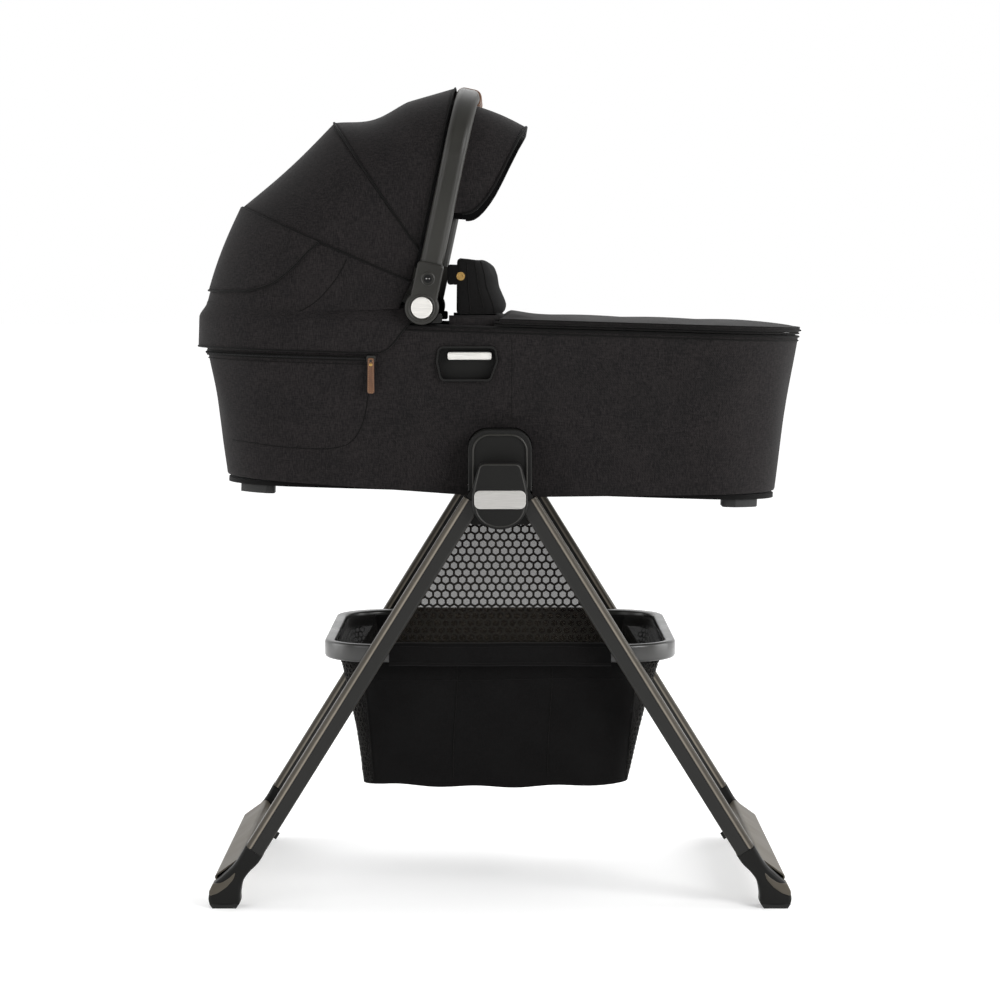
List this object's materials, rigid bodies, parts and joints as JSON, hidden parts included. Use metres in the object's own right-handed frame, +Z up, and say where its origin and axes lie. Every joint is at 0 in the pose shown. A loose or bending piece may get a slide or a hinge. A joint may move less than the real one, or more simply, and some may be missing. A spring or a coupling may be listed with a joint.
{
  "type": "bassinet on folding stand",
  "caption": "Baby bassinet with a folding canopy and carry handle, docked on a folding A-frame stand with a storage basket.",
  "frame": {"origin": "on the floor under the middle of the stand, at the centre of the overall box", "axes": "+X towards the foot end, +Y across to the far side, +Z up"},
  "size_m": [0.8377, 0.552, 1.1101],
  "materials": {
    "cot_fabric": "charcoal melange woven polyester",
    "black_fabric": "plain black woven polyester",
    "mesh": "black hexagonal knitted mesh",
    "leg_metal": "taupe anodised aluminium extrusion",
    "ring_plastic": "satin gloss black plastic",
    "black_plastic": "fine textured black plastic",
    "rubber": "black rubber",
    "silver": "brushed and clear anodised aluminium",
    "steel": "zinc plated steel",
    "leather": "tan leather, stitched",
    "brass": "polished brass",
    "lining": "soft quilted black lining",
    "mattress_cover": "off-white knitted mattress cover"
  },
  "bodies": {
    "hubs": {"hub_frames": "black_plastic", "hub_covers": "black_plastic", "nameplates": "silver", "hub_screws": "steel", "leg_pivot_pins": "steel", "basket_bag": "black_fabric", "side_nets": "mesh"},
    "head_legs": {"head_leg_tubes": "leg_metal", "head_leg_knuckles": "black_plastic", "head_leg_shoes": "black_plastic", "head_sole_pads": "rubber", "head_crossbar": "leg_metal", "head_leg_bumpers": "rubber", "head_rim_pins": "steel"},
    "head_rim": {"head_rim_end": "ring_plastic", "head_stretchers": "leg_metal", "head_link_rivets": "steel"},
    "foot_legs": {"foot_leg_tubes": "leg_metal", "foot_leg_knuckles": "black_plastic", "foot_leg_shoes": "black_plastic", "foot_sole_pads": "rubber", "foot_crossbar": "leg_metal", "foot_leg_bumpers": "rubber", "foot_rim_pins": "steel"},
    "foot_rim": {"foot_rim_end": "ring_plastic", "foot_stretchers": "leg_metal", "foot_link_rivets": "steel"},
    "links": {"stretcher_links": "steel"},
    "cot": {"base_tray": "black_plastic", "base_feet": "rubber", "fabric_body": "cot_fabric", "rim_frame": "black_plastic", "liner": "lining", "mattress": "mattress_cover", "docks": "black_plastic", "slot_bezels": "black_plastic", "pivot_brackets": "black_plastic", "canopy_skirt": "cot_fabric", "apron": "cot_fabric", "zip_tape": "black_fabric", "canopy_rear_panel": "cot_fabric"},
    "rib_2": {"canopy_rib_2": "black_plastic", "canopy_mid_panel": "cot_fabric"},
    "rib_1": {"canopy_rib_1": "black_plastic", "canopy_front_panel": "cot_fabric"},
    "handle": {"handle_tube": "black_plastic", "handle_housings": "black_plastic", "handle_grip": "leather"},
    "visor": {"visor": "cot_fabric"},
    "near_button": {"near_fold_button": "silver"},
    "near_lever": {"near_release_lever": "silver"},
    "near_pawl": {"near_latch_pawl": "steel"},
    "far_button": {"far_fold_button": "silver"},
    "far_lever": {"far_release_lever": "silver"},
    "far_pawl": {"far_latch_pawl": "steel"},
    "collar": {"wind_collar": "black_fabric", "collar_snaps": "brass"},
    "zip_slider": {"zip_slider": "brass"},
    "zip_pull": {"zip_pull": "leather"}
  },
  "joints": [
    {"name": "head_leg_fold", "type": "hinge", "parent": "hubs", "child": "head_legs", "pos_m": [-0.03, 0, 0.56], "axis": [0, -1, 0], "range_deg": [0, 28.7], "deforming": ["basket_bag", "side_nets"]},
    {"name": "foot_leg_fold", "type": "hinge", "parent": "hubs", "child": "foot_legs", "pos_m": [0.03, 0, 0.56], "axis": [0, -1, 0], "range_deg": [-28.7, 0]},
    {"name": "head_rim_fold", "type": "hinge", "parent": "head_legs", "child": "head_rim", "pos_m": [-0.16804, 0, 0.33849], "axis": [0, -1, 0], "range_deg": [0, 61.32]},
    {"name": "foot_rim_fold", "type": "hinge", "parent": "foot_legs", "child": "foot_rim", "pos_m": [0.16804, 0, 0.33849], "axis": [0, -1, 0], "range_deg": [-61.32, 0]},
    {"name": "link_swing", "type": "hinge", "parent": "head_rim", "child": "links", "pos_m": [-0.045, 0, 0.34], "axis": [0, -1, 0], "range_deg": [-90.02, 0]},
    {"name": "cot_lift", "type": "slide", "parent": "hubs", "child": "cot", "axis": [0, 0, 1], "range_m": [0, 0.12]},
    {"name": "canopy_fold", "type": "hinge", "parent": "cot", "child": "rib_2", "pos_m": [-0.105, 0, 0.8076], "axis": [0, -1, 0], "range_deg": [0, 28.3], "deforming": ["canopy_rear_panel", "canopy_mid_panel", "canopy_front_panel"]},
    {"name": "rib_1_fold", "type": "hinge", "parent": "rib_2", "child": "rib_1", "pos_m": [-0.105, 0, 0.8076], "axis": [0, -1, 0], "range_deg": [0, 28.3]},
    {"name": "handle_fold", "type": "hinge", "parent": "rib_1", "child": "handle", "pos_m": [-0.105, 0, 0.8076], "axis": [0, -1, 0], "range_deg": [0, 28.3]},
    {"name": "visor_tuck", "type": "hinge", "parent": "handle", "child": "visor", "pos_m": [-0.051, 0, 0.9325], "axis": [0, -1, 0], "range_deg": [0, 20]},
    {"name": "near_button_press", "type": "slide", "parent": "handle", "child": "near_button", "axis": [0, 1, 0], "range_m": [0, 0.004], "stiffness_N_per_m": 600},
    {"name": "far_button_press", "type": "slide", "parent": "handle", "child": "far_button", "axis": [0, -1, 0], "range_m": [0, 0.004], "stiffness_N_per_m": 600},
    {"name": "near_lever_squeeze", "type": "slide", "parent": "cot", "child": "near_lever", "axis": [0, 0, 1], "range_m": [0, 0.0036], "stiffness_N_per_m": 600},
    {"name": "far_lever_squeeze", "type": "slide", "parent": "cot", "child": "far_lever", "axis": [0, 0, 1], "range_m": [0, 0.0036], "stiffness_N_per_m": 600},
    {"name": "near_latch_draw", "type": "slide", "parent": "cot", "child": "near_pawl", "axis": [0, 1, 0], "range_m": [0, 0.0036]},
    {"name": "far_latch_draw", "type": "slide", "parent": "cot", "child": "far_pawl", "axis": [0, -1, 0], "range_m": [0, 0.0036]},
    {"name": "collar_fold", "type": "hinge", "parent": "cot", "child": "collar", "pos_m": [0.007, 0, 0.7975], "axis": [0, 1, 0], "range_deg": [0, 75]},
    {"name": "zip_run", "type": "slide", "parent": "cot", "child": "zip_slider", "axis": [-0.9995, 0, 0.0304], "range_m": [0, 0.105]},
    {"name": "zip_pull_swing", "type": "hinge", "parent": "zip_slider", "child": "zip_pull", "pos_m": [-0.174, -0.2266, 0.736], "axis": [0, 1, 0], "range_deg": [-60, 60]}
  ],
  "couplings": [
    {"joint": "foot_leg_fold", "follows": "head_leg_fold", "ratio": -1},
    {"joint": "head_rim_fold", "follows": "head_leg_fold", "ratio": 2.136},
    {"joint": "foot_rim_fold", "follows": "head_leg_fold", "ratio": -2.136},
    {"joint": "link_swing", "follows": "head_leg_fold", "ratio": -3.136},
    {"joint": "rib_1_fold", "follows": "canopy_fold", "ratio": 1},
    {"joint": "handle_fold", "follows": "canopy_fold", "ratio": 1},
    {"joint": "near_latch_draw", "follows": "near_lever_squeeze", "ratio": 1},
    {"joint": "far_latch_draw", "follows": "far_lever_squeeze", "ratio": 1}
  ]
}
